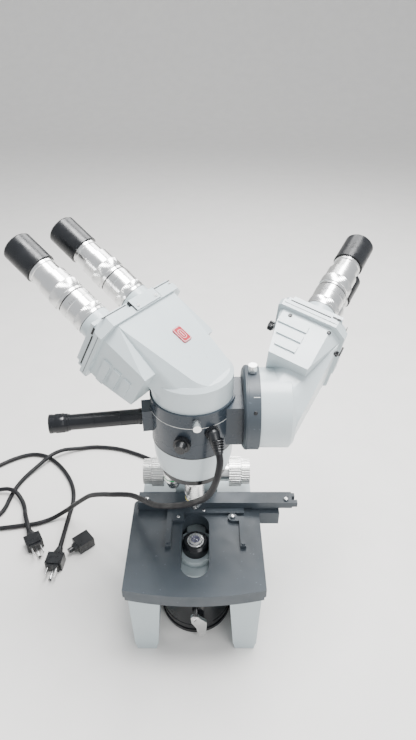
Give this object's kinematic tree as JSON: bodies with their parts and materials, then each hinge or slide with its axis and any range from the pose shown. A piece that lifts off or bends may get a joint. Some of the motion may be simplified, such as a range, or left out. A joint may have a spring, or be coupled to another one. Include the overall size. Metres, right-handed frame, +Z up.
{
  "type": "microscope",
  "caption": "Compound microscope with an upright head, a side head on a horizontal coupling, slide stage, turret and lamp cords.",
  "frame": {"origin": "on the optical axis at the sole of the base", "axes": "+Z up along the optical axis, +Y towards the arm, +X towards the side head"},
  "size_m": [0.5955, 0.3905, 0.491],
  "materials": {
    "grey_paint": "semi-gloss hammer-free enamel",
    "stand_paint": "semi-gloss enamel",
    "slate_paint": "satin crinkle enamel",
    "band_paint": "gloss enamel",
    "black_paint": "gloss enamel",
    "black_plastic": "moulded",
    "satin_chrome": "satin, fine turned",
    "knurled_metal": "turned and knurled",
    "lens_glass": "polished",
    "red_enamel": "enamel",
    "cord_rubber": "matt"
  },
  "bodies": {
    "stand": {"base_casting": "stand_paint", "lamp_drum": "black_paint", "lamp_bulb": "lens_glass", "field_lens": "lens_glass", "substage_ring": "stand_paint", "stage_plate": "slate_paint", "arm": "stand_paint", "body_bowl": "grey_paint", "body_band": "band_paint", "nose_ring": "black_paint", "beam_splitter": "lens_glass", "lamp_gland": "black_plastic", "pointer_block": "band_paint", "side_arm": "band_paint", "coupling_ring": "slate_paint", "rear_gland": "black_plastic", "pointer_cord": "cord_rubber", "mains_cord": "cord_rubber", "pointer_plug": "black_plastic", "mains_plug": "black_plastic", "tap_socket": "black_plastic"},
    "lever": {"aperture_lever": "satin_chrome"},
    "condenser_unit": {"condenser": "black_paint", "condenser_ring": "satin_chrome", "condenser_lens": "lens_glass"},
    "stage_slide": {"y_carriage": "slate_paint"},
    "stage_bar": {"x_bar": "slate_paint", "slide_holder": "slate_paint"},
    "finger": {"spring_finger": "slate_paint"},
    "coarse": {"coarse_knobs": "knurled_metal"},
    "fine": {"fine_knobs": "knurled_metal"},
    "nosepiece": {"nosepiece_carriage": "slate_paint"},
    "turret_unit": {"turret": "black_paint", "objective_low": "satin_chrome", "objective_mid": "satin_chrome", "objective_high": "satin_chrome"},
    "filter": {"filter_knob": "black_plastic"},
    "clamp_screw": {"head_clamp": "satin_chrome"},
    "pointer": {"pointer_tube": "black_paint"},
    "coupling_screw": {"coupling_clamp": "satin_chrome"},
    "main_head": {"main_housing": "grey_paint", "main_lid": "grey_paint", "main_prism": "lens_glass", "badge": "red_enamel", "lid_screws": "satin_chrome"},
    "main_near": {"main_near_slide": "grey_paint", "main_near_sleeve": "satin_chrome"},
    "main_far": {"main_far_slide": "grey_paint", "main_far_sleeve": "satin_chrome"},
    "main_near_eye": {"main_near_eyepiece": "black_plastic"},
    "main_far_eye": {"main_far_eyepiece": "black_plastic"},
    "side_head": {"side_housing": "grey_paint", "side_lid": "grey_paint", "side_prism": "lens_glass"},
    "side_near": {"side_near_slide": "grey_paint", "side_near_sleeve": "satin_chrome"},
    "side_far": {"side_far_slide": "grey_paint", "side_far_sleeve": "satin_chrome"},
    "side_near_eye": {"side_near_eyepiece": "black_plastic"},
    "side_far_eye": {"side_far_eyepiece": "black_plastic"}
  },
  "joints": [
    {"name": "lever_turn", "type": "hinge", "parent": "stand", "child": "lever", "pos_m": [0, -0.05, 0.044], "axis": [0, 1, 0], "range_deg": [-25, 25]},
    {"name": "condenser_focus", "type": "slide", "parent": "stand", "child": "condenser_unit", "axis": [0, 0, 1], "range_m": [-0.01, 0]},
    {"name": "stage_y", "type": "slide", "parent": "stand", "child": "stage_slide", "axis": [0, 1, 0], "range_m": [-0.025, 0.004]},
    {"name": "stage_x", "type": "slide", "parent": "stage_slide", "child": "stage_bar", "axis": [1, 0, 0], "range_m": [0, 0.04]},
    {"name": "finger_swing", "type": "hinge", "parent": "stage_bar", "child": "finger", "pos_m": [0.047, 0.03, 0.133], "axis": [0, 0, 1], "range_deg": [0, 18], "stiffness_Nm_per_rad": 0.02, "springref_deg": -5.73},
    {"name": "focus", "type": "slide", "parent": "stand", "child": "nosepiece", "axis": [0, 0, 1], "range_m": [-0.012, 0.002]},
    {"name": "coarse_turn", "type": "hinge", "parent": "stand", "child": "coarse", "pos_m": [0, 0.096, 0.151], "axis": [1, 0, 0], "range_deg": [-218, 38]},
    {"name": "fine_turn", "type": "hinge", "parent": "stand", "child": "fine", "pos_m": [0, 0.096, 0.151], "axis": [1, 0, 0], "range_deg": [-180, 180]},
    {"name": "turret_turn", "type": "hinge", "parent": "nosepiece", "child": "turret_unit", "pos_m": [0, 0.026, 0.245], "axis": [0, 0, 1], "continuous": true},
    {"name": "filter_turn", "type": "hinge", "parent": "stand", "child": "filter", "pos_m": [-0.00894, -0.04206, 0.326], "axis": [-0.2079, -0.9781, 0], "range_deg": [-90, 90]},
    {"name": "head_clamp_turn", "type": "hinge", "parent": "stand", "child": "clamp_screw", "pos_m": [0.00449, -0.04276, 0.352], "axis": [0.1045, -0.9945, 0], "range_deg": [-180, 180]},
    {"name": "pointer_turn", "type": "hinge", "parent": "stand", "child": "pointer", "pos_m": [-0.04258, -0.00598, 0.331], "axis": [-0.9903, -0.1392, 0], "range_deg": [-45, 45]},
    {"name": "coupling_screw_turn", "type": "hinge", "parent": "stand", "child": "coupling_screw", "pos_m": [0.059, 0, 0.38], "axis": [0, 0, 1], "range_deg": [-180, 180]},
    {"name": "main_head_turn", "type": "hinge", "parent": "stand", "child": "main_head", "pos_m": [0, 0, 0.359], "axis": [0, 0, 1], "range_deg": [-15, 100]},
    {"name": "side_head_turn", "type": "hinge", "parent": "stand", "child": "side_head", "pos_m": [0.072, 0, 0.337], "axis": [1, 0, 0], "range_deg": [-26, 60]},
    {"name": "main_near_shift", "type": "slide", "parent": "main_head", "child": "main_near", "axis": [-0.5592, -0.829, 0], "range_m": [-0.003, 0.003]},
    {"name": "main_far_shift", "type": "slide", "parent": "main_head", "child": "main_far", "axis": [-0.5592, -0.829, 0], "range_m": [-0.003, 0.003]},
    {"name": "main_near_eyepiece_pull", "type": "slide", "parent": "main_near", "child": "main_near_eye", "axis": [-0.718, 0.4843, 0.5], "range_m": [0, 0.03]},
    {"name": "main_far_eyepiece_pull", "type": "slide", "parent": "main_far", "child": "main_far_eye", "axis": [-0.718, 0.4843, 0.5], "range_m": [0, 0.03]},
    {"name": "side_near_shift", "type": "slide", "parent": "side_head", "child": "side_near", "axis": [0, -0.4384, 0.8988], "range_m": [-0.003, 0.003]},
    {"name": "side_far_shift", "type": "slide", "parent": "side_head", "child": "side_far", "axis": [0, -0.4384, 0.8988], "range_m": [-0.003, 0.003]},
    {"name": "side_near_eyepiece_pull", "type": "slide", "parent": "side_near", "child": "side_near_eye", "axis": [0.5, 0.7784, 0.3796], "range_m": [0, 0.03]},
    {"name": "side_far_eyepiece_pull", "type": "slide", "parent": "side_far", "child": "side_far_eye", "axis": [0.5, 0.7784, 0.3796], "range_m": [0, 0.03]}
  ],
  "couplings": [
    {"joint": "coarse_turn", "follows": "focus", "rad_per_m": 314.16},
    {"joint": "main_far_shift", "follows": "main_near_shift", "ratio": -1},
    {"joint": "side_far_shift", "follows": "side_near_shift", "ratio": -1}
  ]
}
